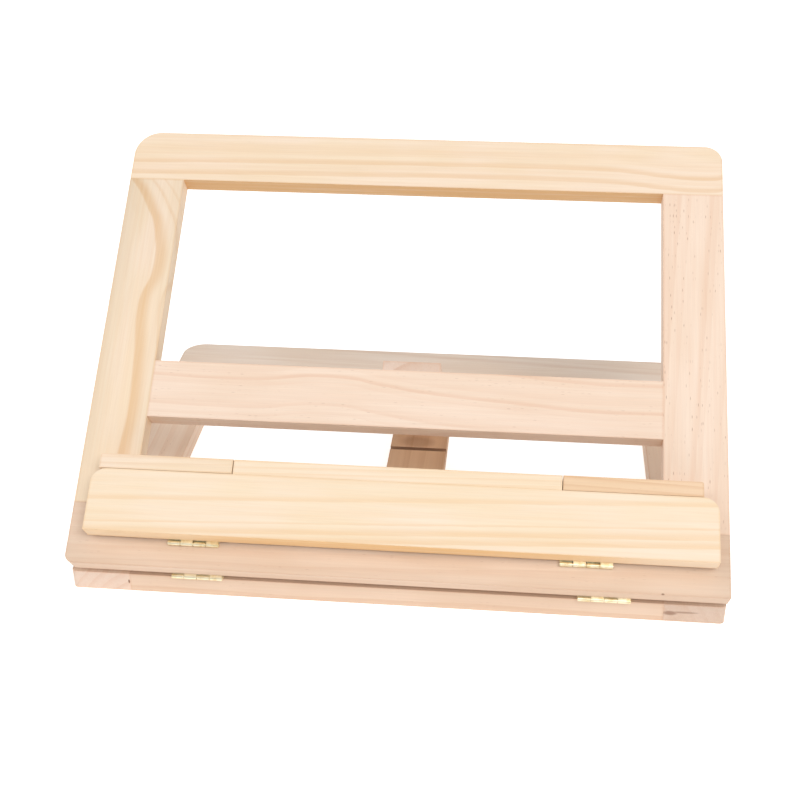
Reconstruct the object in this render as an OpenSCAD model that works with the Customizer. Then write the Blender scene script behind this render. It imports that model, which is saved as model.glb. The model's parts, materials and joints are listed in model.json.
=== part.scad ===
// Folding book display stand: a flat base, a tilting back frame held up by a
// folding leg, and a hinged ledge with two swivelling page holders.
// Origin: centre of the base's underside. +X right, +Y to the rear, +Z up.
// The back frame is drawn in its own coordinates: X across, Y up the slope from
// the bottom edge, Z out of the front face. on_frame() stands it up at rest.

/* [Base] */
// Width of the base and of the back frame
stand_w = 320; // [280:1:360]
// Depth of the base, which is also the height of the back frame
stand_d = 247; // [240:1:270]
// Thickness of the base rails and of the back frame's rails
rail_t = 10; // [9:0.5:12]
// Width of the base side rails
base_side_w = 29.5; // [22:0.5:32]
// Width of the base front and rear rails
base_end_w = 29; // [24:1:34]
// Width of the centre bar that the leg stands on
bar_w = 32; // [26:1:36]
// Thickness of the centre bar
bar_t = 9; // [8:0.5:9.5]
// How far the centre bar and the leg sit to the right of the middle
bar_shift = 1.5; // [0:0.5:3]
// Corner radius at the rear left of the base
base_rear_left_r = 13; // [2:1:14]
// Corner radius at the rear right of the base
base_rear_right_r = 10; // [2:1:14]
// Corner radius at the front of the base
base_front_r = 2.5; // [1:0.5:5]

/* [Leg grooves] */
// Number of grooves across the centre bar
groove_count = 5; // [3:1:5]
// Distance of the nearest groove from the front edge of the base
groove_first = 83; // [80:1:95]
// Distance from one groove to the next
groove_pitch = 24; // [18:1:26]
// Groove that holds the leg at rest, counted from the front
groove_at_rest = 4; // [3:1:4]
// Width of a groove
groove_w = 2.8; // [2:0.2:4]
// Depth of a groove
groove_depth = 4; // [2:0.5:5]

/* [Back frame] */
// Tilt of the back frame above the table
frame_tilt = 38; // [34:1:44]
// Width of the top rail
top_rail_w = 29.8; // [26:0.2:34]
// Width of the left stile
left_stile_w = 29.8; // [26:0.2:34]
// Width of the right stile
right_stile_w = 31.2; // [26:0.2:34]
// Width of the bottom rail
bottom_rail_w = 31; // [28:1:34]
// Height of the middle rail's lower edge up the frame
mid_rail_v = 78; // [72:1:80]
// Width of the middle rail
mid_rail_w = 31; // [28:1:32]
// Corner radius at the top left of the frame
top_left_r = 14; // [2:1:20]
// Corner radius at the top right of the frame
top_right_r = 9; // [2:1:20]
// Corner radius at the bottom left of the frame
bottom_left_r = 4; // [1:0.5:6]
// Corner radius at the bottom right of the frame
bottom_right_r = 0.5; // [0.5:0.5:6]

/* [Leg] */
// Width of the leg
leg_w = 30; // [26:1:36]
// Thickness of the leg
leg_t = 8; // [6:0.5:9]

/* [Ledge] */
// Length of the ledge board
ledge_len = 303; // [280:1:306]
// How far the ledge board sits to the right of the middle
ledge_shift = 2; // [0:0.5:4]
// Height of the ledge board's lower edge up the frame
ledge_v = 13.5; // [13:0.5:16]
// Width of the ledge board
ledge_w = 31.5; // [28:0.5:34]
// Thickness of the ledge board and of its lip
ledge_t = 10; // [8:0.5:12]
// Radius of the ledge board's two free corners
ledge_corner_r = 7.5; // [2:0.5:12]
// Overall length of the lip along the ledge's free edge
lip_len = 292.6; // [270:0.2:296]
// Length of the lip's fixed middle piece
lip_mid_len = 159.6; // [140:0.2:170]
// Height of the lip above the ledge board's free edge
lip_h = 7.6; // [6:0.2:10]
// Distance of each page holder's pivot screw from the middle
holder_pivot_x = 120; // [118:1:124]

/* [Hinges] */
// Length of a hinge
hinge_len = 25.4; // [22:0.2:30]
// Width of one hinge leaf, measured from the pin
leaf_w = 8.6; // [7.5:0.1:9]
// Thickness of a hinge leaf
leaf_t = 0.8; // [0.6:0.1:1]
// Radius of the hinge knuckles
knuckle_r = 1.15; // [1.1:0.05:1.15]
// Radius of the hinge pins
pin_r = 0.6; // [0.5:0.05:0.65]
// Middle of the left base hinge
base_hinge_left_x = -96; // [-120:0.5:-80]
// Middle of the right base hinge
base_hinge_right_x = 102; // [80:0.5:120]
// Middle of the left ledge hinge
ledge_hinge_left_x = -97; // [-120:0.5:-70]
// Middle of the right ledge hinge
ledge_hinge_right_x = 92.5; // [70:0.5:120]

/* [Fasteners] */
// Radius of a hinge screw's shank
screw_r = 1; // [0.8:0.1:1.2]
// Radius of a hinge screw's countersunk head
screw_head_r = 1.9; // [1.7:0.1:2.1]
// Length of a hinge screw, head included
screw_len = 6.5; // [5:0.5:7]
// Radius of a page holder screw's shank
holder_screw_r = 1.5; // [1.2:0.1:2]
// Radius of the wooden dowels in the rail joints
dowel_r = 2.5; // [2:0.25:3]
// Length of the dowels
dowel_len = 24; // [16:1:24]

/* [Hidden] */
$fn = 48;

pine_yellow = "#f0d6a6";
pine_pink = "#e8c9a8";
pine_end = "#e2bd95";
brass = "#d9bf62";
steel = "#b9bcc0";

// Small amounts: a cut's overlap, a running fit, a gap between knuckles
cut = 1;
fit = 0.05;
knuckle_gap = 0.4;

// Height of a hinge pin above the face its leaf lies on
pin_h = 1.2;
knuckle_count = 4;
knuckle_len = hinge_len / knuckle_count - knuckle_gap;
// Distance from the pin at which a leaf is full length
leaf_back = 1.6;
// A leaf's two screws, from its middle and from the pin
leaf_screw_x = 7.6;
leaf_screw_y = 5.2;
screw_tip_len = 2;
screw_tip_r = 0.2;
screw_slot_w = 0.4;
screw_slot_depth = 0.4;

// The base, from its front edge
base_front = -stand_d / 2;
base_rear = stand_d / 2;
half_w = stand_w / 2;
base_inner_x = half_w - base_side_w;
base_bar_front = base_front + base_end_w;
base_bar_rear = base_rear - base_end_w;
base_dowel_z = rail_t / 2;
bar_dowel_z = bar_t / 2;
// Dowels stand this far either side of the middle of a rail joint
dowel_step = 6;

// The main pin, on which the back frame tilts
main_pin_y = base_front - pin_h;
main_pin_z = rail_t + pin_h;

// The back frame, in its own coordinates
// The opening between the stiles, and the middles of the stiles, from left to right
opening_x = [-half_w + left_stile_w, half_w - right_stile_w];
stile_x = [-half_w + left_stile_w / 2, half_w - right_stile_w / 2];
top_rail_v = stand_d - top_rail_w;
mid_rail_top = mid_rail_v + mid_rail_w;
frame_mid_n = -rail_t / 2;

// The leg's pin, in frame coordinates: just above the middle rail, behind it
leg_gap = 0.5;
leg_pin_v = mid_rail_top + leg_gap;
leg_pin_n = -rail_t - pin_h;
// Where the leg's pin stands at rest
leg_pin_reach = leg_pin_v + pin_h;
leg_pin_y = main_pin_y + leg_pin_reach * cos(frame_tilt);
leg_pin_z = main_pin_z + leg_pin_reach * sin(frame_tilt);
// The foot's lower edge stands just clear of the bar, over its groove
foot_gap = 0.25;
foot_y = base_front + groove_first + (groove_at_rest - 1) * groove_pitch;
foot_z = bar_t + foot_gap;
foot_reach = norm([foot_y - leg_pin_y, leg_pin_z - foot_z]);
leg_len = sqrt(foot_reach * foot_reach - pin_h * pin_h);
leg_slope = atan2(leg_pin_z - foot_z, foot_y - leg_pin_y) + asin(pin_h / foot_reach);
leg_angle = frame_tilt + leg_slope;

// The ledge, folded up against the frame, in frame coordinates
ledge_pin_drop = 1.5;
ledge_pin_v = ledge_v - ledge_pin_drop;
ledge_n = 2 * pin_h;
ledge_top_v = ledge_v + ledge_w;
ledge_mid_n = ledge_n + ledge_t / 2;
lip_glue_gap = 0.02;
lip_end_r = 1;

// The page holders, their clearances and their screws
holder_side_gap = 0.35;
holder_under_gap = 0.2;
holder_inner_x = lip_mid_len / 2 + holder_side_gap;
holder_outer_x = lip_len / 2;
holder_base_v = ledge_top_v + holder_under_gap;
holder_top_v = ledge_top_v + lip_h;
holder_head_r = 2.9;
holder_head_h = 1.6;
holder_slot_w = 0.7;
holder_screw_depth = 16;

// ---- shared shapes ----

// One rounded corner taken off a flat outline
module corner_cut(p, turn, r) {
    translate(p) rotate(turn) difference() {
        translate([-cut, -cut]) square(r + cut);
        translate([r, r]) circle(r);
    }
}

// Rectangle with its own radius at each corner, counted from the lower left
module outline(x0, x1, y0, y1, r) {
    difference() {
        translate([x0, y0]) square([x1 - x0, y1 - y0]);
        if (r[0] > 0) corner_cut([x0, y0], 0, r[0]);
        if (r[1] > 0) corner_cut([x1, y0], 90, r[1]);
        if (r[2] > 0) corner_cut([x1, y1], 180, r[2]);
        if (r[3] > 0) corner_cut([x0, y1], 270, r[3]);
    }
}

// Flat board from z0 upwards, with an outline as above
module board(x0, x1, y0, y1, z0, t, r = [0, 0, 0, 0]) {
    translate([0, 0, z0]) linear_extrude(t) outline(x0, x1, y0, y1, r);
}

module rod_x(r, len) {
    rotate([0, 90, 0]) cylinder(r = r, h = len, center = true);
}

module rod_y(r, len) {
    rotate([-90, 0, 0]) cylinder(r = r, h = len, center = true);
}

// ---- placing ----

// Carries frame coordinates to the tilted frame
module on_frame() {
    translate([0, main_pin_y, main_pin_z])
        rotate([frame_tilt, 0, 0])
            translate([0, pin_h, pin_h + rail_t])
                children();
}

// Carries leg coordinates, whose origin is the leg's pin, to the leg at rest
module on_leg() {
    on_frame()
        translate([bar_shift, leg_pin_v, leg_pin_n])
            rotate([-leg_angle, 0, 0])
                children();
}

// The places of the hinges. Each puts the pin along X through the origin.
module at_base_hinges() {
    for (x = [base_hinge_left_x, base_hinge_right_x])
        translate([x, 0, 0]) children();
}

module at_main_pin() {
    translate([0, main_pin_y, main_pin_z]) at_base_hinges() children();
}

// The same pin in frame coordinates
module at_main_pin_on_frame() {
    translate([0, -pin_h, -rail_t - pin_h]) at_base_hinges() children();
}

module at_ledge_pins() {
    for (x = [ledge_hinge_left_x, ledge_hinge_right_x])
        translate([x, ledge_pin_v, pin_h]) children();
}

module at_leg_pin() {
    translate([bar_shift, leg_pin_v, leg_pin_n]) children();
}

// ---- hinge parts: pin along X, leaf towards +Y on a face below the pin ----

module at_leaf_screws() {
    for (x = [-leaf_screw_x, leaf_screw_x])
        translate([x, leaf_screw_y, -pin_h]) children();
}

// first is 0 or 1: the leaf has that knuckle and every second one after it
module hinge_leaf(first) {
    difference() {
        union() {
            translate([-hinge_len / 2, leaf_back, -pin_h])
                cube([hinge_len, leaf_w - leaf_back, leaf_t]);
            for (i = [first : 2 : knuckle_count - 1])
                translate([(i + 0.5) * hinge_len / knuckle_count - hinge_len / 2, 0, 0]) {
                    translate([-knuckle_len / 2, 0, -pin_h])
                        cube([knuckle_len, leaf_back + cut, leaf_t]);
                    rod_x(knuckle_r, knuckle_len);
                }
        }
        rod_x(pin_r + fit, hinge_len + 2 * cut);
        at_leaf_screws() {
            cylinder(r1 = screw_r, r2 = screw_head_r, h = leaf_t);
            translate([0, 0, -cut]) cylinder(r = screw_r, h = cut + leaf_t / 2);
            translate([0, 0, leaf_t]) cylinder(r = screw_head_r, h = cut);
        }
    }
}

module hinge_pin() {
    rod_x(pin_r, hinge_len);
}

// Countersunk wood screws, flush with the leaf
module hinge_screws() {
    shank_len = screw_len - leaf_t - screw_tip_len;
    at_leaf_screws() difference() {
        union() {
            cylinder(r1 = screw_r, r2 = screw_head_r, h = leaf_t);
            translate([0, 0, -shank_len]) cylinder(r = screw_r, h = shank_len);
            translate([0, 0, -shank_len - screw_tip_len])
                cylinder(r1 = screw_tip_r, r2 = screw_r, h = screw_tip_len);
        }
        translate([-screw_head_r - cut, -screw_slot_w / 2, leaf_t - screw_slot_depth])
            cube([2 * (screw_head_r + cut), screw_slot_w, screw_slot_depth + cut]);
    }
}

// Pilot holes for the same screws, cut from the wood
module hinge_pilots() {
    at_leaf_screws() translate([0, 0, -screw_len + leaf_t - fit])
        cylinder(r = screw_r + fit, h = screw_len);
}

// ---- base ----

// Dowel places in the base, as [x, y, z, runs along X]
base_dowels_at = [
    for (side = [-1, 1], step = [-1, 1])
        each [
            [side * base_inner_x, base_front + base_end_w / 2 + step * dowel_step, base_dowel_z, true],
            [side * (half_w - base_side_w / 2) + step * dowel_step, base_bar_rear, base_dowel_z, false],
            [bar_shift + step * dowel_step, side < 0 ? base_bar_front : base_bar_rear, bar_dowel_z, false]
        ]
];

module dowels(places, r, len) {
    for (d = places)
        translate([d[0], d[1], d[2]])
            if (d[3]) rod_x(r, len); else rod_y(r, len);
}

module base_dowel_holes() {
    dowels(base_dowels_at, dowel_r + fit, dowel_len + 2 * fit);
}

module base_left_rail() {
    color(pine_pink) difference() {
        board(-half_w, -base_inner_x, base_front, base_bar_rear, 0, rail_t, [base_front_r, 0, 0, 0]);
        base_dowel_holes();
    }
}

module base_right_rail() {
    color(pine_pink) difference() {
        board(base_inner_x, half_w, base_front, base_bar_rear, 0, rail_t, [0, base_front_r, 0, 0]);
        base_dowel_holes();
    }
}

module base_front_rail() {
    color(pine_pink) difference() {
        board(-base_inner_x, base_inner_x, base_front, base_bar_front, 0, rail_t);
        base_dowel_holes();
        at_main_pin() hinge_pilots();
    }
}

module base_rear_rail() {
    color(pine_yellow) difference() {
        board(-half_w, half_w, base_bar_rear, base_rear, 0, rail_t,
              [0, 0, base_rear_right_r, base_rear_left_r]);
        base_dowel_holes();
    }
}

// The bar between the front and rear rails, with grooves sawn across it for the leg's foot
module base_centre_bar() {
    color(pine_end) difference() {
        board(bar_shift - bar_w / 2, bar_shift + bar_w / 2, base_bar_front, base_bar_rear, 0, bar_t);
        base_dowel_holes();
        for (i = [0 : groove_count - 1])
            translate([bar_shift, base_front + groove_first + i * groove_pitch, bar_t])
                cube([bar_w + 2 * cut, groove_w, 2 * groove_depth], center = true);
    }
}

module base_dowels() {
    color(pine_end) dowels(base_dowels_at, dowel_r, dowel_len);
}

module base_hinge_lower_leaves() {
    color(brass) at_main_pin() hinge_leaf(0);
}

module base_hinge_pins() {
    color(brass) at_main_pin() hinge_pin();
}

module base_hinge_lower_screws() {
    color(brass) at_main_pin() hinge_screws();
}

// ---- back frame ----

// Dowel places in the frame, as [x, up the frame, out of the face, runs along X]
frame_dowels_at = [
    for (i = [0, 1], step = [-1, 1])
        each [
            [stile_x[i] + step * dowel_step, bottom_rail_w, frame_mid_n, false],
            [stile_x[i] + step * dowel_step, top_rail_v, frame_mid_n, false],
            [opening_x[i], mid_rail_v + mid_rail_w / 2 + step * dowel_step, frame_mid_n, true]
        ]
];

module frame_dowel_holes() {
    dowels(frame_dowels_at, dowel_r + fit, dowel_len + 2 * fit);
}

module frame_left_stile() {
    color(pine_yellow) on_frame() difference() {
        board(-half_w, opening_x[0], bottom_rail_w, top_rail_v, -rail_t, rail_t);
        frame_dowel_holes();
    }
}

module frame_right_stile() {
    color(pine_pink) on_frame() difference() {
        board(opening_x[1], half_w, bottom_rail_w, top_rail_v, -rail_t, rail_t);
        frame_dowel_holes();
    }
}

module frame_top_rail() {
    color(pine_yellow) on_frame() difference() {
        board(-half_w, half_w, top_rail_v, stand_d, -rail_t, rail_t, [0, 0, top_right_r, top_left_r]);
        frame_dowel_holes();
    }
}

module frame_middle_rail() {
    color(pine_pink) on_frame() difference() {
        board(opening_x[0], opening_x[1], mid_rail_v, mid_rail_top, -rail_t, rail_t);
        frame_dowel_holes();
        at_leg_pin() rotate([180, 0, 0]) hinge_pilots();
    }
}

module frame_bottom_rail() {
    color(pine_pink) on_frame() difference() {
        board(-half_w, half_w, 0, bottom_rail_w, -rail_t, rail_t, [bottom_left_r, bottom_right_r, 0, 0]);
        frame_dowel_holes();
        at_main_pin_on_frame() mirror([0, 0, 1]) hinge_pilots();
        at_ledge_pins() hinge_pilots();
    }
}

module frame_dowels() {
    color(pine_end) on_frame() dowels(frame_dowels_at, dowel_r, dowel_len);
}

module base_hinge_upper_leaves() {
    color(brass) on_frame() at_main_pin_on_frame() mirror([0, 0, 1]) hinge_leaf(1);
}

module base_hinge_upper_screws() {
    color(brass) on_frame() at_main_pin_on_frame() mirror([0, 0, 1]) hinge_screws();
}

module ledge_hinge_frame_leaves() {
    color(brass) on_frame() at_ledge_pins() hinge_leaf(0);
}

module ledge_hinge_pins() {
    color(brass) on_frame() at_ledge_pins() hinge_pin();
}

module ledge_hinge_frame_screws() {
    color(brass) on_frame() at_ledge_pins() hinge_screws();
}

module leg_hinge_frame_leaf() {
    color(brass) on_frame() at_leg_pin() rotate([180, 0, 0]) hinge_leaf(0);
}

module leg_hinge_pin() {
    color(brass) on_frame() at_leg_pin() hinge_pin();
}

module leg_hinge_frame_screws() {
    color(brass) on_frame() at_leg_pin() rotate([180, 0, 0]) hinge_screws();
}

// ---- leg ----

module support_leg() {
    color(pine_pink) on_leg() difference() {
        board(-leg_w / 2, leg_w / 2, leg_gap, leg_len, pin_h, leg_t);
        mirror([0, 0, 1]) hinge_pilots();
    }
}

// Turned over, so its knuckles fall beside those of the frame's leaf
module leg_hinge_leg_leaf() {
    color(brass) on_leg() mirror([0, 0, 1]) hinge_leaf(1);
}

module leg_hinge_leg_screws() {
    color(brass) on_leg() mirror([0, 0, 1]) hinge_screws();
}

// ---- ledge, drawn folded up against the frame ----

module at_holder_pivots() {
    for (side = [-1, 1])
        translate([side * holder_pivot_x, 0, ledge_mid_n]) children();
}

module ledge_board() {
    color(pine_yellow) on_frame() difference() {
        board(ledge_shift - ledge_len / 2, ledge_shift + ledge_len / 2, ledge_v, ledge_top_v,
              ledge_n, ledge_t, [0, 0, ledge_corner_r, ledge_corner_r]);
        at_ledge_pins() mirror([0, 0, 1]) hinge_pilots();
        at_holder_pivots() translate([0, ledge_top_v - holder_screw_depth / 2, 0])
            rod_y(holder_screw_r + fit, holder_screw_depth + 2 * fit);
    }
}

// Fixed middle piece of the lip, glued to the ledge board's free edge
module ledge_lip() {
    color(pine_yellow) on_frame()
        board(-lip_mid_len / 2, lip_mid_len / 2, ledge_top_v + lip_glue_gap, holder_top_v,
              ledge_n, ledge_t);
}

module ledge_hinge_board_leaves() {
    color(brass) on_frame() at_ledge_pins() mirror([0, 0, 1]) hinge_leaf(1);
}

module ledge_hinge_board_screws() {
    color(brass) on_frame() at_ledge_pins() mirror([0, 0, 1]) hinge_screws();
}

// Countersunk head of a page holder's screw, its top flush with the holder
module holder_screw_head(spare) {
    translate([0, holder_top_v - holder_head_h, 0]) rotate([-90, 0, 0])
        cylinder(r1 = holder_screw_r + spare, r2 = holder_head_r + spare, h = holder_head_h);
}

// Screws on which the page holders turn
module page_holder_screws() {
    shank_len = holder_screw_depth + lip_h - holder_head_h;
    color(steel) on_frame() at_holder_pivots() difference() {
        union() {
            holder_screw_head(0);
            translate([0, ledge_top_v - holder_screw_depth + shank_len / 2, 0])
                rod_y(holder_screw_r, shank_len);
        }
        for (turn = [0, 90])
            translate([0, holder_top_v, 0]) rotate([0, turn, 0])
                cube([2 * holder_head_r - 2 * holder_slot_w, holder_head_h, holder_slot_w], center = true);
    }
}

// ---- page holders ----

module page_holder(side) {
    x0 = side < 0 ? -holder_outer_x : holder_inner_x;
    x1 = side < 0 ? -holder_inner_x : holder_outer_x;
    r = side < 0 ? [0, 0, 0, lip_end_r] : [0, 0, lip_end_r, 0];
    color(pine_end) on_frame() difference() {
        board(x0, x1, holder_base_v, holder_top_v, ledge_n, ledge_t, r);
        translate([side * holder_pivot_x, 0, ledge_mid_n]) {
            holder_screw_head(fit);
            translate([0, holder_top_v, 0]) rod_y(holder_screw_r + fit, 2 * lip_h);
        }
    }
}

module left_page_holder() {
    page_holder(-1);
}

module right_page_holder() {
    page_holder(1);
}

base_left_rail();
base_right_rail();
base_front_rail();
base_rear_rail();
base_centre_bar();
base_dowels();
base_hinge_lower_leaves();
base_hinge_pins();
base_hinge_lower_screws();
frame_left_stile();
frame_right_stile();
frame_top_rail();
frame_middle_rail();
frame_bottom_rail();
frame_dowels();
base_hinge_upper_leaves();
base_hinge_upper_screws();
ledge_hinge_frame_leaves();
ledge_hinge_pins();
ledge_hinge_frame_screws();
leg_hinge_frame_leaf();
leg_hinge_pin();
leg_hinge_frame_screws();
support_leg();
leg_hinge_leg_leaf();
leg_hinge_leg_screws();
ledge_board();
ledge_lip();
ledge_hinge_board_leaves();
ledge_hinge_board_screws();
page_holder_screws();
left_page_holder();
right_page_holder();
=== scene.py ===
"""Looks of the folding book display stand: sanded pine, brass butt hinges, plated screws.

Every wooden piece gets its own cut of one procedural pine: growth rings about a pith
line, fibre streaks, resin flecks, end grain, softened and slightly worn edges.
Lengths inside the wood material are in millimetres, measured from the piece's middle.
"""
import json
import math

import bpy
import numpy as np
from mathutils import Matrix, Vector

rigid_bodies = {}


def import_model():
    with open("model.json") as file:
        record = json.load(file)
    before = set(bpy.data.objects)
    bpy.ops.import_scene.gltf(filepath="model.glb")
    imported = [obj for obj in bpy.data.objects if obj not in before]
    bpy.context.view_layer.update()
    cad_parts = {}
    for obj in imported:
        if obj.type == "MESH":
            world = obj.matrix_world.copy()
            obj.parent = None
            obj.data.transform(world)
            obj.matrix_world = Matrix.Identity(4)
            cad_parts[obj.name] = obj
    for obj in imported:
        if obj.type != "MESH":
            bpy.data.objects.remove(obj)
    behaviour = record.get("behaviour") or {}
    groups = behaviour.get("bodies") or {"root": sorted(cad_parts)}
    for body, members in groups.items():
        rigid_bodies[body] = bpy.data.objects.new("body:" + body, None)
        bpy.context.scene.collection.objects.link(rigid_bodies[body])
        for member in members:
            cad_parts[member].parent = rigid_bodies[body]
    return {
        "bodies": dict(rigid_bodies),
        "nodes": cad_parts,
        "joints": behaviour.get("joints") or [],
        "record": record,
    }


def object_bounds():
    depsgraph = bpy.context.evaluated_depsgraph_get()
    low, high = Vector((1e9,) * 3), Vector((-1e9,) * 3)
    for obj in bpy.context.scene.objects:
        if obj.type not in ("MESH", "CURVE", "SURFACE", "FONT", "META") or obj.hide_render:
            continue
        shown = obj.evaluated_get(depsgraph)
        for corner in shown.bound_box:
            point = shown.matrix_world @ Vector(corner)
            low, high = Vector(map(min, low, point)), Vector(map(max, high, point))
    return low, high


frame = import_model()
cad_low, cad_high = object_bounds()

MM = 0.001
PER_METRE = 1000.0


# ---- what the frame says ----

def joint(name):
    return next(j for j in frame["joints"] if j["name"] == name)


def rest_turns():
    """How far each body is turned about X at rest, from its drawing position, in radians."""
    up_slope = Vector(joint("left_holder_turn")["axis"])
    tilt = math.atan2(up_slope.z, up_slope.y)
    couplings = frame["record"]["behaviour"]["couplings"]
    leg_ratio = next(c["ratio"] for c in couplings if c["joint"] == "leg_fold")
    turns = {body: tilt for body in frame["bodies"]}
    turns["base"] = 0.0
    turns["leg"] = tilt * (1 + leg_ratio)
    return turns


TURNS = rest_turns()


def node_turn(node):
    body = next(b for b, members in frame["record"]["behaviour"]["bodies"].items()
                if node in members)
    return TURNS[body]


def local_box(node):
    """Middle and half size of a node in its body's own untilted directions, in metres."""
    unturn = np.array(Matrix.Rotation(-node_turn(node), 3, "X"))
    points = np.array([v.co for v in frame["nodes"][node].data.vertices]) @ unturn.T
    low, high = points.min(0), points.max(0)
    return (low + high) / 2, (high - low) / 2


# ---- shader building ----

class Shader:
    """A material under construction. Its methods add nodes and return output sockets."""

    def __init__(self, name):
        self.material = bpy.data.materials.new(name)
        self.material.use_nodes = True
        self.tree = self.material.node_tree
        self.tree.nodes.clear()

    def node(self, kind, inputs=None, **settings):
        made = self.tree.nodes.new(kind)
        for key, value in settings.items():
            setattr(made, key, value)
        for key, value in (inputs or {}).items():
            self.feed(made.inputs[key], value)
        return made

    def feed(self, socket, value):
        if isinstance(value, bpy.types.NodeSocket):
            self.tree.links.new(value, socket)
        else:
            socket.default_value = value

    def math(self, operation, a, b=0.0):
        return self.node("ShaderNodeMath", {0: a, 1: b}, operation=operation).outputs[0]

    def step(self, value, low, high):
        """0 below low, 1 above high, smooth between; falls if low is above high."""
        made = self.node("ShaderNodeMapRange", {"Value": value}, interpolation_type="SMOOTHSTEP")
        flipped = low > high
        self.feed(made.inputs["From Min"], min(low, high))
        self.feed(made.inputs["From Max"], max(low, high))
        self.feed(made.inputs["To Min"], 1.0 if flipped else 0.0)
        self.feed(made.inputs["To Max"], 0.0 if flipped else 1.0)
        return made.outputs[0]

    def spread(self, value, low, high):
        """Maps 0..1 onto low..high."""
        made = self.node("ShaderNodeMapRange", {"Value": value, "To Min": low, "To Max": high})
        return made.outputs[0]

    def mix(self, share, a, b, blend="MIX"):
        made = self.node("ShaderNodeMix", data_type="RGBA", blend_type=blend)
        self.feed(made.inputs[0], share)
        self.feed(made.inputs[6], a)
        self.feed(made.inputs[7], b)
        return made.outputs[2]

    def vector(self, x, y, z):
        return self.node("ShaderNodeCombineXYZ", {0: x, 1: y, 2: z}).outputs[0]

    def split(self, vector):
        return self.node("ShaderNodeSeparateXYZ", {0: vector}).outputs

    def noise(self, vector, detail=2.0, roughness=0.5):
        made = self.node("ShaderNodeTexNoise",
                         {"Vector": vector, "Scale": 1.0, "Detail": detail, "Roughness": roughness})
        return made.outputs["Fac"]

    def curve(self, value, points):
        """A smooth curve through points of (0..1, 0..1)."""
        made = self.node("ShaderNodeFloatCurve", {"Value": value})
        line = made.mapping.curves[0]
        line.points[0].location = points[0]
        line.points[-1].location = points[-1]
        for point in points[1:-1]:
            line.points.new(*point)
        made.mapping.update()
        return made.outputs[0]

    def finish(self, **inputs):
        shade = self.node("ShaderNodeBsdfPrincipled", inputs)
        out = self.node("ShaderNodeOutputMaterial")
        self.tree.links.new(shade.outputs[0], out.inputs["Surface"])
        return self.material


def rgb(red, green, blue):
    """A display colour of 0..255 as the linear colour that shaders work in."""
    def linear(c):
        c = c / 255
        return c / 12.92 if c <= 0.04045 else ((c + 0.055) / 1.055) ** 2.4
    return (linear(red), linear(green), linear(blue), 1.0)


# ---- pine ----

YELLOW = {"early": rgb(246, 224, 196), "late": rgb(228, 184, 132), "tone": rgb(249, 228, 206)}
CREAM = {"early": rgb(248, 227, 198), "late": rgb(238, 196, 142), "tone": rgb(250, 230, 206)}
PINK = {"early": rgb(245, 220, 198), "late": rgb(227, 181, 147), "tone": rgb(249, 226, 206)}
ROSE = {"early": rgb(226, 199, 175), "late": rgb(206, 162, 128), "tone": rgb(231, 206, 184)}
TAN = {"early": rgb(240, 208, 172), "late": rgb(216, 166, 118), "tone": rgb(244, 213, 180)}
BROWN = {"early": rgb(225, 190, 156), "late": rgb(190, 142, 104), "tone": rgb(231, 199, 167)}
GREY = {"early": rgb(242, 223, 205), "late": rgb(214, 177, 148), "tone": rgb(245, 229, 214)}

PINE = {
    "along": "x",           # direction of the grain
    "spacing": 7.0,         # mean distance between growth rings
    "pith": (4.0, -38.0),   # across and through, from the middle to the tree's heart
    "wander": 2.2,          # how far rings stray along the board
    "wander_length": 90.0,  # over what length they stray
    "contrast": 0.55,       # strength of the regular rings
    "lines": (),            # bolder single rings: (across on the front face, width, strength)
    "flecks": 0.25,         # strength of the resin flecks
    "colours": PINK,
    "bend": None,           # a curve that pushes the rings sideways along the board
    "bend_size": 0.0,       # how far its full height pushes them
    "underside_shade": None,     # a curve of how much painted shade darkens the faces that look down, along the board
    "spots": (),            # knots, stains and painted shade: (place, half size, strength)
}


# How fast each pattern changes along and across the grain, per mm
FIBRE = (0.045, 2.6)
STREAK = (0.012, 0.55)
CLOUD = (0.014, 0.05)
FLECK_CELLS = (0.30, 1.9)
FLECK_CROWDS = (0.02, 0.22)
# The same for the pores of an end face, in both directions, and for the spacing of the rings
PORES = 3.2
RING_SHIFTS = 0.09

FLECK_COLOUR = rgb(150, 96, 60)
# The colour of knots and stains, also used for painted shade
KNOT_AND_SHADE_COLOUR = rgb(120, 74, 48)
WORN_EDGE = 1.1  # how far in from an edge its deeper line reaches, in mm
BUMP_HEIGHT = 0.12 * MM


class Place:
    """Where a point lies in one node's wood, in mm from the node's middle, as sockets."""

    def __init__(self, s, node, grain):
        middle, half = local_box(node)
        turn = (-node_turn(node), 0, 0)
        coordinates = s.node("ShaderNodeTexCoord")
        place = s.node("ShaderNodeMapping", {"Vector": coordinates.outputs["Object"]})
        place.inputs["Rotation"].default_value = turn
        place.inputs["Scale"].default_value = (PER_METRE,) * 3
        place.inputs["Location"].default_value = [-c * PER_METRE for c in middle]
        facing = s.node("ShaderNodeMapping", {"Vector": coordinates.outputs["Normal"]},
                        vector_type="VECTOR")
        facing.inputs["Rotation"].default_value = turn
        x, y, self.through = s.split(place.outputs[0])
        nx, self.facing_up_slope, _ = s.split(facing.outputs[0])
        width, height, self.half_through = [h * PER_METRE for h in half]
        if grain == "x":
            self.along, self.across, self.end_on = x, y, nx
            self.half_along, self.half_across = width, height
        else:
            self.along, self.across, self.end_on = y, x, self.facing_up_slope
            self.half_along, self.half_across = height, width
        self.travel = s.math("ADD", s.math("DIVIDE", self.along, 2 * self.half_along), 0.5)


def stretched(s, place, per_mm, seed):
    """A point for a pattern that is drawn out along the grain."""
    lengthwise, crosswise = per_mm
    return s.vector(s.math("MULTIPLY", place.along, lengthwise),
                    s.math("MULTIPLY", place.across, crosswise),
                    s.math("ADD", s.math("MULTIPLY", place.through, crosswise), seed))


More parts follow.
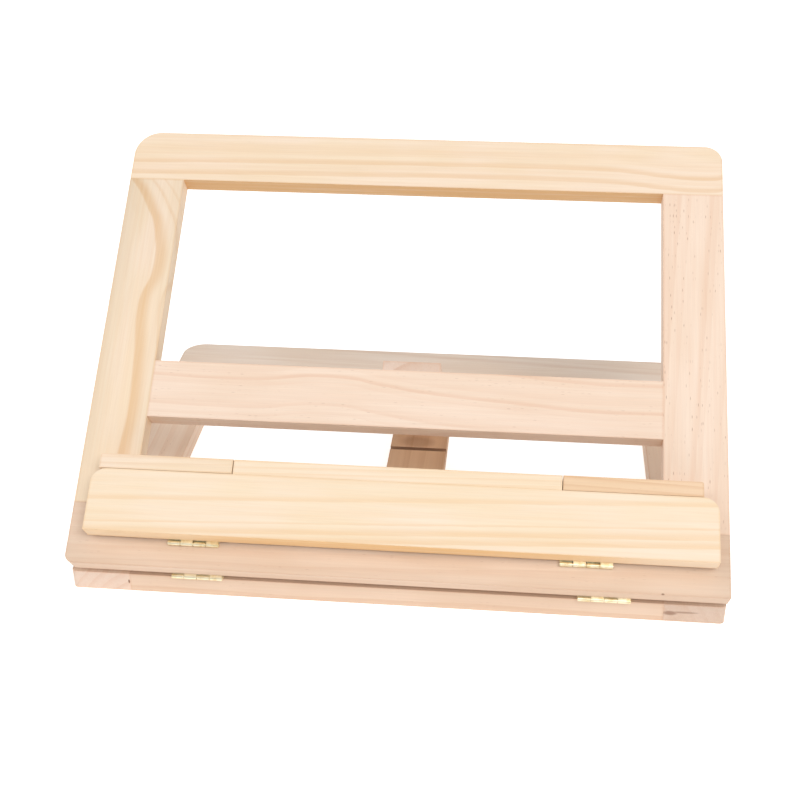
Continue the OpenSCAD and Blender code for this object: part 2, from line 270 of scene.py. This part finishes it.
def stray(s, place, seed, cut):
    """How far the rings lie from their straight course, in mm across the board."""
    drift = s.vector(s.math("DIVIDE", place.along, cut["wander_length"]),
                     s.math("DIVIDE", place.across, 3 * cut["wander_length"]), seed)
    away = s.math("MULTIPLY", s.math("SUBTRACT", s.noise(drift, 1.0), 0.5), 4 * cut["wander"])
    if cut["bend"]:
        push = s.math("MULTIPLY", s.curve(place.travel, cut["bend"]), cut["bend_size"])
        away = s.math("ADD", away, push)
    return away


def ring_profile(s, rings):
    """Pale early wood that deepens to a dark late line, then stops sharply."""
    turn = s.math("FRACT", rings)
    rise = s.math("POWER", s.step(turn, 0.25, 0.93), 1.6)
    return s.math("MULTIPLY", rise, s.step(turn, 1.0, 0.955))


def regular_rings(s, radius, seed, spacing):
    """Growth rings of uneven spacing and strength about the pith."""
    uneven = s.noise(s.vector(s.math("MULTIPLY", radius, RING_SHIFTS), seed, 0.0), 1.0)
    rings = s.math("ADD", s.math("DIVIDE", radius, spacing), s.math("MULTIPLY", uneven, 1.4))
    power = s.noise(s.vector(s.math("FLOOR", rings), seed + 3.0, 0.0), 0.0)
    return s.math("MULTIPLY", ring_profile(s, rings), s.spread(power, 0.35, 1.35))


def bold_rings(s, lines, radius, pith, face):
    """Dark rings that reach the front face at chosen places across the board."""
    total = 0.0
    for across, width, strength in lines:
        reach = math.hypot(across - pith[0], face - pith[1])
        beyond = s.math("SUBTRACT", radius, reach)
        ring = s.math("MULTIPLY", s.step(beyond, -width, -0.2 * width),
                      s.step(beyond, 0.25 * width, 0.0))
        total = s.math("MAXIMUM", total, s.math("MULTIPLY", ring, strength))
    return total


def resin_flecks(s, place, from_middle, seed):
    """Short dark flecks, sparse and gathered in crowds."""
    cells = s.node("ShaderNodeTexVoronoi", {"Vector": stretched(s, place, FLECK_CELLS, seed),
                                            "Scale": 1.0})
    chosen = s.step(s.split(cells.outputs["Color"])[0], 0.80, 0.95)
    fleck = s.math("MULTIPLY", s.step(cells.outputs["Distance"], 0.42, 0.10), chosen)
    lengthwise, crosswise = FLECK_CROWDS
    crowds = s.noise(s.vector(s.math("MULTIPLY", place.along, lengthwise),
                              s.math("MULTIPLY", from_middle, crosswise), seed + 5.0), 1.0)
    return s.math("MULTIPLY", fleck, s.step(crowds, 0.42, 0.60))


def knots_and_shade(s, spots, place):
    """0..1 mask of small knots, resin pockets, stains and painted shade."""
    point = s.vector(place.along, place.across, place.through)
    total = 0.0
    for middle, half_size, strength in spots:
        offset = s.node("ShaderNodeVectorMath", {0: point, 1: middle}, operation="SUBTRACT")
        share = s.node("ShaderNodeVectorMath", {0: offset.outputs[0], 1: half_size},
                       operation="DIVIDE")
        reach = s.node("ShaderNodeVectorMath", {0: share.outputs[0]},
                       operation="LENGTH").outputs["Value"]
        spot = s.math("MULTIPLY", s.step(reach, 1.0, 0.4), strength)
        total = s.math("MAXIMUM", total, spot)
    return total


def with_end_grain(s, place, seed, colour):
    """End grain shows deeper, with open pores."""
    end = s.step(s.math("ABSOLUTE", place.end_on), 0.6, 0.8)
    pores = s.noise(s.vector(s.math("MULTIPLY", place.across, PORES),
                             s.math("MULTIPLY", place.through, PORES), seed), 3.0, 0.7)
    tint = s.spread(pores, 0.66, 1.0)
    end_colour = s.mix(1.0, colour, s.vector(tint, tint, s.math("MULTIPLY", tint, 1.05)), "MULTIPLY")
    return s.mix(s.math("MULTIPLY", end, 0.8), colour, end_colour)


def edge_wear(s, place, streak):
    """Edges, handled and sanded: a thin line a little deeper than the faces."""
    gaps = [s.math("SUBTRACT", half, s.math("ABSOLUTE", from_middle))
            for half, from_middle in ((place.half_along, place.along),
                                      (place.half_across, place.across),
                                      (place.half_through, place.through))]
    nearer = s.math("MINIMUM", *gaps[:2])
    farther = s.math("MAXIMUM", *gaps[:2])
    distance = s.math("MAXIMUM", nearer, s.math("MINIMUM", farther, gaps[2]))
    return s.math("MULTIPLY", s.step(distance, WORN_EDGE, 0.1), s.spread(streak, 0.1, 0.5))


def pine(name, node, seed, **choices):
    """Pine cut for one node, with the choices listed under PINE."""
    cut = {**PINE, **choices}
    colours = cut["colours"]
    s = Shader(name)
    place = Place(s, node, cut["along"])

    from_middle = s.math("SUBTRACT", place.across, stray(s, place, seed, cut))
    pith_across, pith_through = cut["pith"]
    from_pith = s.vector(s.math("SUBTRACT", from_middle, pith_across),
                         s.math("SUBTRACT", place.through, pith_through), 0.0)
    radius = s.node("ShaderNodeVectorMath", {0: from_pith}, operation="LENGTH").outputs["Value"]

    fibre = s.noise(stretched(s, place, FIBRE, seed), 5.0, 0.62)
    streak = s.noise(stretched(s, place, STREAK, seed), 3.0, 0.55)
    cloud = s.noise(s.vector(s.math("MULTIPLY", place.along, CLOUD[0]),
                             s.math("MULTIPLY", place.across, CLOUD[1]), seed + 7.0), 2.0)

    # late wood: the regular rings, the bold ones and painted shade on the faces that look down
    frayed = s.math("ADD", radius, s.spread(fibre, -0.6, 0.6))
    bold = bold_rings(s, cut["lines"], frayed, cut["pith"], place.half_through)
    bold = s.math("MULTIPLY", bold, s.spread(streak, 0.7, 1.2))
    late = s.math("MULTIPLY", regular_rings(s, radius, seed, cut["spacing"]), cut["contrast"])
    late = s.math("MAXIMUM", late, bold)
    # Painted shade on the faces that look down, in the late-wood colour and broken up by the
    # streaks; from here on late carries it too, into the colour and the relief
    if cut["underside_shade"]:
        painted_underside_shade = s.math("MULTIPLY", s.step(place.facing_up_slope, -0.15, -0.7),
                           s.spread(streak, 0.4, 1.5))
        painted_underside_shade = s.math("MULTIPLY", painted_underside_shade, s.curve(place.travel, cut["underside_shade"]))
        late = s.math("MAXIMUM", late, painted_underside_shade)
    fleck = s.math("MULTIPLY", resin_flecks(s, place, from_middle, seed), cut["flecks"])

    colour = s.mix(s.step(cloud, 0.35, 0.65), colours["early"], colours["tone"])
    colour = s.mix(late, colour, colours["late"])
    colour = s.mix(s.spread(streak, -0.16, 0.30), colour, colours["late"])
    shade = s.spread(fibre, 0.92, 1.06)
    colour = s.mix(1.0, colour, s.vector(shade, shade, shade), "MULTIPLY")
    colour = s.mix(fleck, colour, FLECK_COLOUR)
    colour = with_end_grain(s, place, seed, colour)
    colour = s.mix(edge_wear(s, place, streak), colour, colours["late"])
    # knots and stains, and on the centre bar painted shade
    if cut["spots"]:
        colour = s.mix(knots_and_shade(s, cut["spots"], place), colour, KNOT_AND_SHADE_COLOUR)

    relief = s.math("ADD", s.math("MULTIPLY", fibre, 0.6), s.math("MULTIPLY", late, 0.25))
    relief = s.math("SUBTRACT", relief, s.math("MULTIPLY", fleck, 0.8))
    bump = s.node("ShaderNodeBump", {"Height": relief, "Strength": 0.35, "Distance": BUMP_HEIGHT})
    return s.finish(**{"Base Color": colour, "Roughness": s.spread(fibre, 0.50, 0.68),
                       "Specular IOR Level": 0.35, "Normal": bump.outputs[0]})


# ---- metals ----

# How fast a metal's patterns change, per metre
DRAWN_ALONG = 900.0
DRAWN_ACROSS = 9000.0
TARNISH = 260.0
METAL_BUMP = 0.03 * MM


def metal(name, bright, dull, roughness):
    """Stamped sheet metal: fine drawn lines and soft tarnish."""
    s = Shader(name)
    place = s.node("ShaderNodeTexCoord").outputs["Object"]
    x, y, z = s.split(place)
    lines = s.noise(s.vector(s.math("MULTIPLY", x, DRAWN_ALONG), s.math("MULTIPLY", y, DRAWN_ACROSS),
                             s.math("MULTIPLY", z, DRAWN_ACROSS)), 3.0, 0.6)
    tarnish = s.noise(s.vector(s.math("MULTIPLY", x, TARNISH), s.math("MULTIPLY", y, TARNISH),
                               s.math("MULTIPLY", z, TARNISH)), 4.0, 0.6)
    colour = s.mix(s.step(tarnish, 0.42, 0.75), bright, dull)
    rough = s.math("ADD", s.spread(lines, roughness, roughness + 0.14),
                   s.spread(tarnish, 0.0, 0.12))
    bump = s.node("ShaderNodeBump", {"Height": lines, "Strength": 0.25, "Distance": METAL_BUMP})
    return s.finish(**{"Base Color": colour, "Metallic": 1.0, "Roughness": rough,
                       "Normal": bump.outputs[0]})


# ---- finish of each node ----

# How the rings drift across a board from its left or lower end to its other end
STILE_BEND = ((0.0, 0.82), (0.13, 0.82), (0.27, 0.89), (0.44, 0.82), (0.586, 0.73),
              (0.72, 0.96), (0.81, 0.87), (0.91, 0.54), (1.0, 0.02))
TOP_BEND = ((0.0, 0.42), (0.5, 0.87), (0.75, 0.92), (0.91, 0.3), (0.97, 0.13), (1.0, 0.4))
MIDDLE_BEND = ((0.0, 0.77), (0.2, 0.73), (0.345, 0.95), (0.45, 0.73), (0.56, 0.46), (0.72, 0.25),
               (0.88, 0.07), (1.0, 0.05))
RISING = ((0.0, 0.0), (1.0, 1.0))
FALLING = ((0.0, 1.0), (1.0, 0.0))

# How much painted shade darkens a board's downward faces, from its left end to its right end
TOP_UNDERSIDE_SHADE = ((0.0, 1.0), (1.0, 1.0))
LEDGE_UNDERSIDE_SHADE = ((0.0, 0.3), (0.15, 0.55), (0.3, 1.0), (0.75, 0.95), (0.9, 0.25), (1.0, 0.1))

# The centre bar's grooves, along it from its middle; painted shade darkens their walls and a narrow
# band about them
FIRST_GROOVE = -40.5
GROOVE_PITCH = 24.0
GROOVES = [FIRST_GROOVE + number * GROOVE_PITCH for number in range(5)]
BAR_TOP = 4.5  # its top face, from its middle
BAR_GROOVE_SHADE = [((along, 0.0, BAR_TOP), (2.1, 60.0, 8.0), 1.0) for along in GROOVES]
# A painted shadow on the bar's top face, drawn as a soft dark spot
BAR_SHADOW = ((15.0, -1.0, BAR_TOP), (8.0, 13.0, 8.0), 0.35)

WOOD = {
    "frame_top_rail": dict(
        colours=YELLOW, spacing=9.0, pith=(60.0, -20.0), wander=0.3, contrast=0.1, flecks=0.05,
        bend=TOP_BEND, bend_size=6.0, underside_shade=TOP_UNDERSIDE_SHADE,
        lines=((-6.6, 3.4, 0.45), (-14.0, 3.6, 0.42), (0.5, 6.0, 0.16))),
    "frame_left_stile": dict(
        along="y", colours=YELLOW, spacing=16.0, pith=(60.0, -16.0), wander=0.2, contrast=0.05,
        flecks=0.04, bend=STILE_BEND, bend_size=22.0,
        lines=((-14.2, 7.2, 0.62), (-3.5, 2.5, 0.3), (3.5, 2.0, 0.22))),
    "frame_right_stile": dict(
        along="y", colours=PINK, spacing=8.0, pith=(-60.0, -40.0), wander=0.6, contrast=0.15,
        flecks=0.75, bend=RISING, bend_size=14.0, lines=((-3.0, 2.8, 0.26), (-20.0, 2.4, 0.24))),
    "frame_middle_rail": dict(
        colours=PINK, spacing=7.5, pith=(60.0, -30.0), wander=0.4, contrast=0.12, flecks=0.3,
        bend=MIDDLE_BEND, bend_size=15.0,
        lines=((-4.0, 2.2, 0.4), (11.0, 2.2, 0.4), (-19.5, 2.6, 0.24))),
    "frame_bottom_rail": dict(
        colours=ROSE, spacing=6.0, pith=(-60.0, -46.0), wander=1.6, wander_length=130.0,
        contrast=0.18, flecks=0.22, bend=RISING, bend_size=10.0,
        spots=(((128.5, -15.2, 5.0), (1.0, 0.7, 0.7), 0.7),)),
    "ledge_board": dict(
        colours=CREAM, spacing=9.0, pith=(60.0, -20.0), wander=0.3, wander_length=200.0,
        contrast=0.1, flecks=0.03, bend=RISING, bend_size=11.5, underside_shade=LEDGE_UNDERSIDE_SHADE,
        lines=((0.0, 2.8, 0.36), (-11.6, 1.2, 0.34), (-16.4, 3.6, 0.45), (-20.5, 3.4, 0.5))),
    "ledge_lip": dict(
        colours=CREAM, spacing=3.2, pith=(-44.0, -6.0), wander=0.2, wander_length=200.0,
        contrast=0.3, flecks=0.03, bend=RISING, bend_size=4.0),
    "left_page_holder": dict(
        colours=YELLOW, spacing=3.4, pith=(-30.0, -8.0), wander=0.3, contrast=0.3, flecks=0.1,
        bend=RISING, bend_size=2.0),
    "right_page_holder": dict(
        colours=TAN, spacing=2.9, pith=(-34.0, -12.0), wander=0.3, contrast=0.4, flecks=0.1,
        bend=FALLING, bend_size=2.0),
    "base_left_rail": dict(
        along="y", colours=PINK, spacing=5.5, pith=(30.0, -30.0), wander=1.5, contrast=0.3,
        flecks=0.3, spots=(((-109.0, 14.2, 0.4), (2.0, 0.6, 1.5), 0.9),)),
    "base_right_rail": dict(
        along="y", colours=ROSE, spacing=6.0, pith=(-34.0, -22.0), wander=1.5, contrast=0.15,
        flecks=0.3, spots=(((-109.0, -11.5, -0.2), (4.0, 4.5, 1.7), 0.6),
                           ((-109.0, -5.0, 0.5), (4.0, 9.0, 0.8), 0.45))),
    "base_front_rail": dict(
        colours=ROSE, spacing=5.0, pith=(-44.0, -30.0), wander=1.4, contrast=0.25, flecks=0.2),
    "base_rear_rail": dict(
        colours=GREY, spacing=8.0, pith=(60.0, -28.0), wander=0.6, contrast=0.15, flecks=0.12,
        bend=FALLING, bend_size=24.0,
        lines=((-18.0, 4.0, 0.12), (-3.0, 4.0, 0.3), (12.0, 3.0, 0.2))),
    "base_centre_bar": dict(
        along="y", colours=BROWN, spacing=7.0, pith=(-22.0, -20.0), wander=1.5, contrast=0.3,
        flecks=0.15, spots=(*BAR_GROOVE_SHADE, BAR_SHADOW)),
    "support_leg": dict(
        along="y", colours=PINK, spacing=6.0, pith=(10.0, -26.0), wander=1.6, contrast=0.35,
        flecks=0.2),
}
DOWELS = ("base_dowels", "frame_dowels")
STEEL = ("page_holder_screws",)

# Sanded edges, and the crisper ones of the pieces that stand close together
BEVEL = 0.6 * MM
CRISP_BEVEL = 0.25 * MM
CRISP = ("ledge_board", "ledge_lip", "left_page_holder", "right_page_holder")
BEVEL_SEGMENTS = 3
BEVEL_FROM = math.radians(40)  # from this angle on, an edge counts as sharp
SAME_POINT = 0.001 * MM        # points closer than this are joined

# Each piece is cut from its own part of the tree
WOOD_SEED_STEP = 11.7
FIRST_DOWEL_SEED = 5.3


def soften_edges(obj, width):
    """Joins the split corners of the CAD mesh, then rounds its sharp edges."""
    obj.modifiers.new("join", "WELD").merge_threshold = SAME_POINT
    bevel = obj.modifiers.new("soften", "BEVEL")
    bevel.width = width
    bevel.segments = BEVEL_SEGMENTS
    bevel.limit_method = "ANGLE"
    bevel.angle_limit = BEVEL_FROM


def dress():
    brass = metal("brass", rgb(250, 242, 212), rgb(232, 212, 160), 0.24)
    steel = metal("plated_steel", rgb(205, 206, 208), rgb(160, 160, 160), 0.25)
    for number, (node, choices) in enumerate(WOOD.items()):
        obj = frame["nodes"][node]
        paint(obj, pine("pine_" + node, node, WOOD_SEED_STEP * (number + 1), **choices))
        soften_edges(obj, CRISP_BEVEL if node in CRISP else BEVEL)
    for number, node in enumerate(DOWELS):
        seed = FIRST_DOWEL_SEED + number
        paint(frame["nodes"][node], pine("pine_" + node, node, seed, colours=TAN))
    for node, obj in frame["nodes"].items():
        if node not in WOOD and node not in DOWELS:
            paint(obj, steel if node in STEEL else brass)


def paint(obj, material):
    obj.data.materials.clear()
    obj.data.materials.append(material)


# ---- studio ----

# Strengths as a light, and as the camera sees it
FLOOR_GLOW = (0.32, 0.6)
BACKDROP_GLOW = (0.42, 1.0)
FLOOR_SIZE = 12.0
FLOOR_HEIGHT = -0.4 * MM
# Name, place and size in metres, power in watts
LIGHTS = (("key", (1.6, -2.6, 3.0), 2.2, 88.0), ("fill", (-2.4, -1.7, 2.8), 2.4, 32.0))


def camera_ray(tree, otherwise, seen):
    """A strength of seen for what the camera looks at, and of otherwise for what gives light."""
    strength = tree.nodes.new("ShaderNodeMapRange")
    strength.inputs["To Min"].default_value = otherwise
    strength.inputs["To Max"].default_value = seen
    is_seen = tree.nodes.new("ShaderNodeLightPath").outputs["Is Camera Ray"]
    tree.links.new(is_seen, strength.inputs["Value"])
    return strength.outputs[0]


def floor():
    """Plain white, brighter to the camera than as a light, so that its shadows stay faint."""
    bpy.ops.mesh.primitive_plane_add(size=FLOOR_SIZE, location=(0, 0, FLOOR_HEIGHT))
    plane = bpy.context.object
    plane.name = "floor"
    s = Shader("floor_white")
    glow = camera_ray(s.tree, *FLOOR_GLOW)
    paint(plane, s.finish(**{"Base Color": (0.95, 0.95, 0.95, 1.0), "Roughness": 0.9,
                             "Emission Color": (1.0, 1.0, 1.0, 1.0), "Emission Strength": glow}))


def area_light(name, place, size, power, target):
    data = bpy.data.lights.new(name, "AREA")
    data.shape = "SQUARE"
    data.size = size
    data.energy = power
    light = bpy.data.objects.new(name, data)
    light.location = place
    light.rotation_euler = (Vector(target) - Vector(place)).to_track_quat("-Z", "Y").to_euler()
    bpy.context.scene.collection.objects.link(light)


def backdrop():
    """White to the camera, dimmer as a light so that it does not flatten the shadows."""
    world = bpy.data.worlds.new("studio")
    world.use_nodes = True
    tree = world.node_tree
    background = tree.nodes["Background"]
    background.inputs["Color"].default_value = (1.0, 1.0, 1.0, 1.0)
    tree.links.new(camera_ray(tree, *BACKDROP_GLOW), background.inputs["Strength"])
    bpy.context.scene.world = world


def studio():
    floor()
    backdrop()
    middle = (cad_low + cad_high) / 2
    for light in LIGHTS:
        area_light(*light, middle)
    bpy.context.scene.view_settings.view_transform = "Standard"


# ---- camera ----

CLIP_START = 0.01
CAMERA_PLACE = (0.0567, -0.6358, 0.4093)
CAMERA_YAW = math.radians(-5.81)    # turned to the left of straight ahead
CAMERA_PITCH = math.radians(29.69)  # looking down
CAMERA_ROLL = math.radians(-0.38)
SENSOR = 36.0
FOCAL_SHARE = 1.6616                # focal length as a share of the picture's width


def camera():
    ahead = Vector((math.sin(CAMERA_YAW) * math.cos(CAMERA_PITCH),
                    math.cos(CAMERA_YAW) * math.cos(CAMERA_PITCH), -math.sin(CAMERA_PITCH)))
    right = ahead.cross(Vector((0, 0, 1))).normalized()
    up = right.cross(ahead)
    rolled_right = right * math.cos(CAMERA_ROLL) + up * math.sin(CAMERA_ROLL)
    rolled_up = up * math.cos(CAMERA_ROLL) - right * math.sin(CAMERA_ROLL)
    data = bpy.data.cameras.new("camera")
    data.sensor_width = SENSOR
    data.lens = SENSOR * FOCAL_SHARE
    data.clip_start = CLIP_START
    cam = bpy.data.objects.new("camera", data)
    axes = Matrix((rolled_right, rolled_up, -ahead)).transposed()
    cam.matrix_world = Matrix.Translation(CAMERA_PLACE) @ axes.to_4x4()
    bpy.context.scene.collection.objects.link(cam)
    bpy.context.scene.camera = cam


dress()
studio()
camera()
